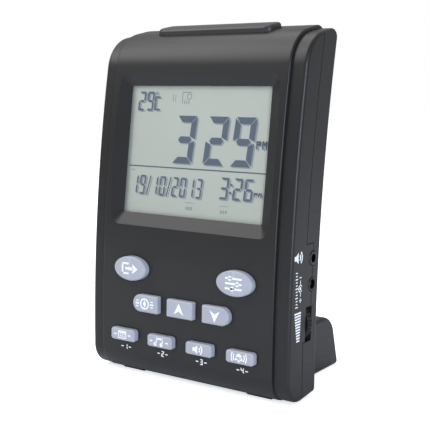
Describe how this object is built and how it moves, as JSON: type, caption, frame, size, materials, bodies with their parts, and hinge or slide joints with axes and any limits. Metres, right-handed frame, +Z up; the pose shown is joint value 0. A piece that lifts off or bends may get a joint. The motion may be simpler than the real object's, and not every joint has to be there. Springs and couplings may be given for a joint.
{
  "type": "talking desk alarm clock with a liquid-crystal display",
  "caption": "Upright bowed desk clock with a recessed display, raised keys, a push bar on top, side sockets, a volume thumbwheel and a rear battery foot.",
  "frame": {"origin": "on the table, under the centre of the whole clock's bounding box", "axes": "+Z up, +Y to the clock's rear, +X to the right as its display is read"},
  "size_m": [0.1031, 0.0704, 0.1524],
  "materials": {
    "case": "fine matte texture",
    "keys": "satin",
    "bar": "satin",
    "window": "clear",
    "lcd": "matte grey-green",
    "guide": "milky",
    "silicone": "matte",
    "board": "solder mask",
    "chip": "matte",
    "sleeve": "gloss",
    "tin": "plated",
    "socket": "matte",
    "wheel": "satin",
    "cone": "matte",
    "magnet": "zinc plated",
    "cell": "printed sleeve",
    "screw": "blackened",
    "pad": "matte"
  },
  "bodies": {
    "body": {"front_shell": "case", "rear_cover": "case", "window_lens": "window", "lcd_panel": "lcd", "light_guide": "guide", "contact_strips": "silicone", "main_board": "board", "clock_chip": "chip", "sound_chips": "chip", "timing_crystal": "tin", "capacitors": "sleeve", "key_mat": "silicone", "key_board": "board", "bar_switch": "chip", "volume_control": "tin", "phone_socket": "socket", "power_socket": "socket", "power_pin": "tin", "side_board": "board", "speaker_basket": "tin", "speaker_cone": "cone", "speaker_magnet": "magnet", "foot_housing": "case", "battery_contacts": "tin", "case_screws": "screw", "board_screws": "screw", "foot_screws": "screw", "front_pads": "pad", "foot_pads": "pad", "cell_1": "cell", "cell_2": "cell", "cell_3": "cell", "battery_spring_1": "tin", "battery_spring_2": "tin", "battery_spring_3": "tin"},
    "key_exit_part": {"key_exit": "keys"},
    "key_set_part": {"key_set": "keys"},
    "key_direction_part": {"key_direction": "keys"},
    "key_up_part": {"key_up": "keys"},
    "key_down_part": {"key_down": "keys"},
    "key_calendar_part": {"key_calendar": "keys"},
    "key_melody_part": {"key_melody": "keys"},
    "key_sound_part": {"key_sound": "keys"},
    "key_call_part": {"key_call": "keys"},
    "bar_part": {"light_bar": "bar"},
    "wheel_part": {"volume_wheel": "wheel"},
    "door_part": {"battery_door": "case"}
  },
  "joints": [
    {"name": "key_exit_press", "type": "slide", "parent": "body", "child": "key_exit_part", "axis": [0, 0.9992, -0.0391], "range_m": [0, 0.0008], "stiffness_N_per_m": 400, "springref_m": -0.0005},
    {"name": "key_set_press", "type": "slide", "parent": "body", "child": "key_set_part", "axis": [0, 0.9992, -0.0391], "range_m": [0, 0.0008], "stiffness_N_per_m": 400, "springref_m": -0.0005},
    {"name": "key_direction_press", "type": "slide", "parent": "body", "child": "key_direction_part", "axis": [0, 0.9992, -0.0391], "range_m": [0, 0.0008], "stiffness_N_per_m": 400, "springref_m": -0.0005},
    {"name": "key_up_press", "type": "slide", "parent": "body", "child": "key_up_part", "axis": [0, 0.9992, -0.0391], "range_m": [0, 0.0008], "stiffness_N_per_m": 400, "springref_m": -0.0005},
    {"name": "key_down_press", "type": "slide", "parent": "body", "child": "key_down_part", "axis": [0, 0.9992, -0.0391], "range_m": [0, 0.0008], "stiffness_N_per_m": 400, "springref_m": -0.0005},
    {"name": "key_calendar_press", "type": "slide", "parent": "body", "child": "key_calendar_part", "axis": [0, 0.9992, -0.0391], "range_m": [0, 0.0008], "stiffness_N_per_m": 400, "springref_m": -0.0005},
    {"name": "key_melody_press", "type": "slide", "parent": "body", "child": "key_melody_part", "axis": [0, 0.9992, -0.0391], "range_m": [0, 0.0008], "stiffness_N_per_m": 400, "springref_m": -0.0005},
    {"name": "key_sound_press", "type": "slide", "parent": "body", "child": "key_sound_part", "axis": [0, 0.9992, -0.0391], "range_m": [0, 0.0008], "stiffness_N_per_m": 400, "springref_m": -0.0005},
    {"name": "key_call_press", "type": "slide", "parent": "body", "child": "key_call_part", "axis": [0, 0.9992, -0.0391], "range_m": [0, 0.0008], "stiffness_N_per_m": 400, "springref_m": -0.0005},
    {"name": "light_bar_press", "type": "slide", "parent": "body", "child": "bar_part", "axis": [0, 0.1908, -0.9816], "range_m": [0, 0.0008], "stiffness_N_per_m": 600, "springref_m": -0.0005},
    {"name": "volume_turn", "type": "hinge", "parent": "body", "child": "wheel_part", "pos_m": [0.04275, -0.01557, 0.0317], "axis": [0, 0.9994, -0.0359], "range_deg": [-135, 135]},
    {"name": "battery_door_slide", "type": "slide", "parent": "body", "child": "door_part", "axis": [0, 1, 0], "range_m": [0, 0.042]}
  ]
}
